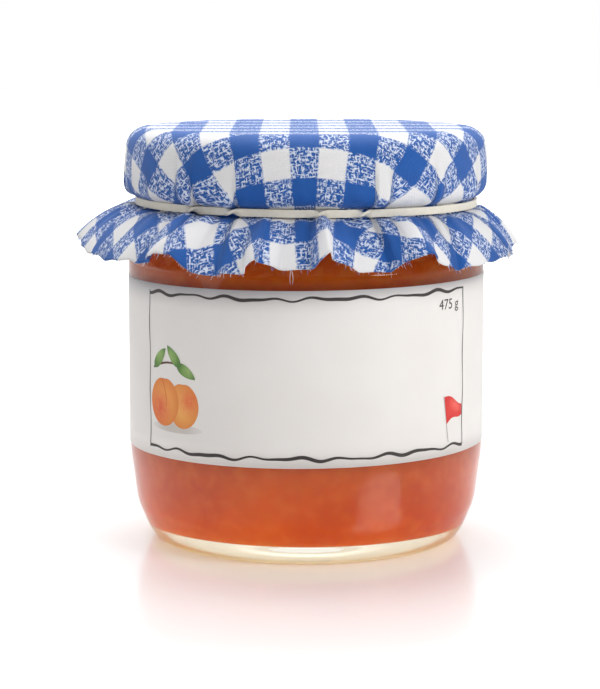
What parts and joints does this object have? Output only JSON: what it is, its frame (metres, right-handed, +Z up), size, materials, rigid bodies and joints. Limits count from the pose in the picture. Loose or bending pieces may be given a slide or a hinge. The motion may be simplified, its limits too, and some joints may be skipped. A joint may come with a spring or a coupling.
{
  "type": "jam jar",
  "caption": "Round glass jar of jam with a plain wrapped paper label and a lid under a gathered gingham cloth cover held by an elastic band.",
  "frame": {"origin": "centre of the foot, on the surface that the jar stands on", "axes": "+Z up along the jar's axis, -Y the front of the label, +X to its right"},
  "size_m": [0.1113, 0.1116, 0.0979],
  "materials": {
    "glass": "clear pressed glass",
    "jam": "glossy translucent apricot jam",
    "paper": "satin paper, off-white",
    "metal": "lacquered tinplate",
    "gingham": "woven blue and white gingham cotton",
    "band": "flat cream elastic band"
  },
  "bodies": {
    "root": {"glass_jar": "glass", "jam": "jam", "label": "paper", "lid": "metal", "cloth_cover": "gingham", "elastic_band": "band"}
  },
  "joints": []
}
